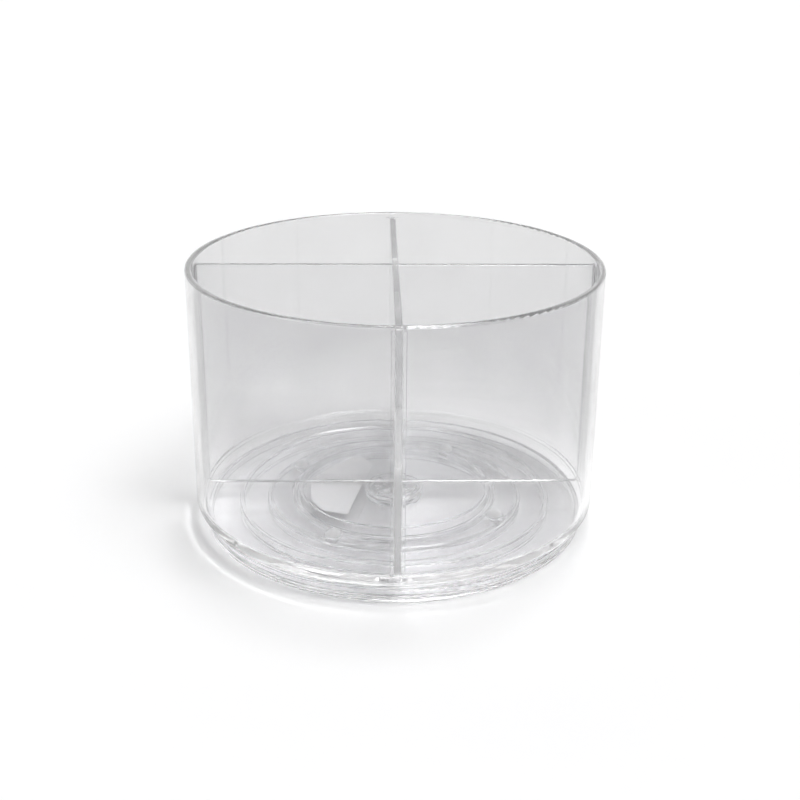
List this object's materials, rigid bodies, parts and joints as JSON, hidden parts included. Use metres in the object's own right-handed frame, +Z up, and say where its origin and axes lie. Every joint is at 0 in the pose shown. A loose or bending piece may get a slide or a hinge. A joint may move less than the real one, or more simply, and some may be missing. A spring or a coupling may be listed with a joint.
{
  "type": "rotating tool storage caddy",
  "caption": "Clear open drum with crossed dividers that turns on a low ball-race base, for storing brushes, knives and small hobby tools.",
  "frame": {"origin": "on the drum's spin axis, at the level the base stands on", "axes": "+Z up along the spin axis; +X along the long divider at rest; +Y along the cross divider"},
  "size_m": [0.15, 0.15, 0.098],
  "materials": {
    "drum_styrene": "clear moulded polystyrene, polished",
    "divider_styrene": "clear moulded polystyrene, polished, edges slightly frosted",
    "base_styrene": "clear moulded polystyrene, polished",
    "cage_plastic": "clear moulded plastic, faint scuffs",
    "pin_plastic": "clear moulded plastic",
    "washer_plastic": "translucent, low gloss",
    "label_paper": "uncoated white paper, blank",
    "ball_plastic": "clear polished ball"
  },
  "bodies": {
    "base": {"base": "base_styrene", "slip_washer": "washer_plastic"},
    "drum": {"drum": "drum_styrene", "pivot_pin": "pin_plastic", "paper_label": "label_paper"},
    "dividers": {"long_divider": "divider_styrene", "cross_divider": "divider_styrene"},
    "cage": {"ball_cage": "cage_plastic"},
    "ball_1": {"ball_1": "ball_plastic"},
    "ball_2": {"ball_2": "ball_plastic"},
    "ball_3": {"ball_3": "ball_plastic"},
    "ball_4": {"ball_4": "ball_plastic"}
  },
  "joints": [
    {"name": "drum_spin", "type": "hinge", "parent": "base", "child": "drum", "pos_m": [0, 0, 0], "axis": [0, 0, 1], "continuous": true},
    {"name": "dividers_lift", "type": "slide", "parent": "drum", "child": "dividers", "axis": [0, 0, 1], "range_m": [0, 0.09]},
    {"name": "cage_spin", "type": "hinge", "parent": "base", "child": "cage", "pos_m": [0, 0, 0], "axis": [0, 0, 1], "continuous": true},
    {"name": "ball_1_roll", "type": "hinge", "parent": "cage", "child": "ball_1", "pos_m": [0.02204, 0.03669, 0.00441], "axis": [0.515, 0.8572, 0], "continuous": true},
    {"name": "ball_2_roll", "type": "hinge", "parent": "cage", "child": "ball_2", "pos_m": [-0.03669, 0.02204, 0.00441], "axis": [-0.8572, 0.515, 0], "continuous": true},
    {"name": "ball_3_roll", "type": "hinge", "parent": "cage", "child": "ball_3", "pos_m": [-0.02204, -0.03669, 0.00441], "axis": [-0.515, -0.8572, 0], "continuous": true},
    {"name": "ball_4_roll", "type": "hinge", "parent": "cage", "child": "ball_4", "pos_m": [0.03669, -0.02204, 0.00441], "axis": [0.8572, -0.515, 0], "continuous": true}
  ],
  "couplings": [
    {"joint": "cage_spin", "follows": "drum_spin", "ratio": 0.5},
    {"joint": "ball_1_roll", "follows": "drum_spin", "ratio": -6.7402},
    {"joint": "ball_2_roll", "follows": "drum_spin", "ratio": -6.7402},
    {"joint": "ball_3_roll", "follows": "drum_spin", "ratio": -6.7402},
    {"joint": "ball_4_roll", "follows": "drum_spin", "ratio": -6.7402}
  ]
}
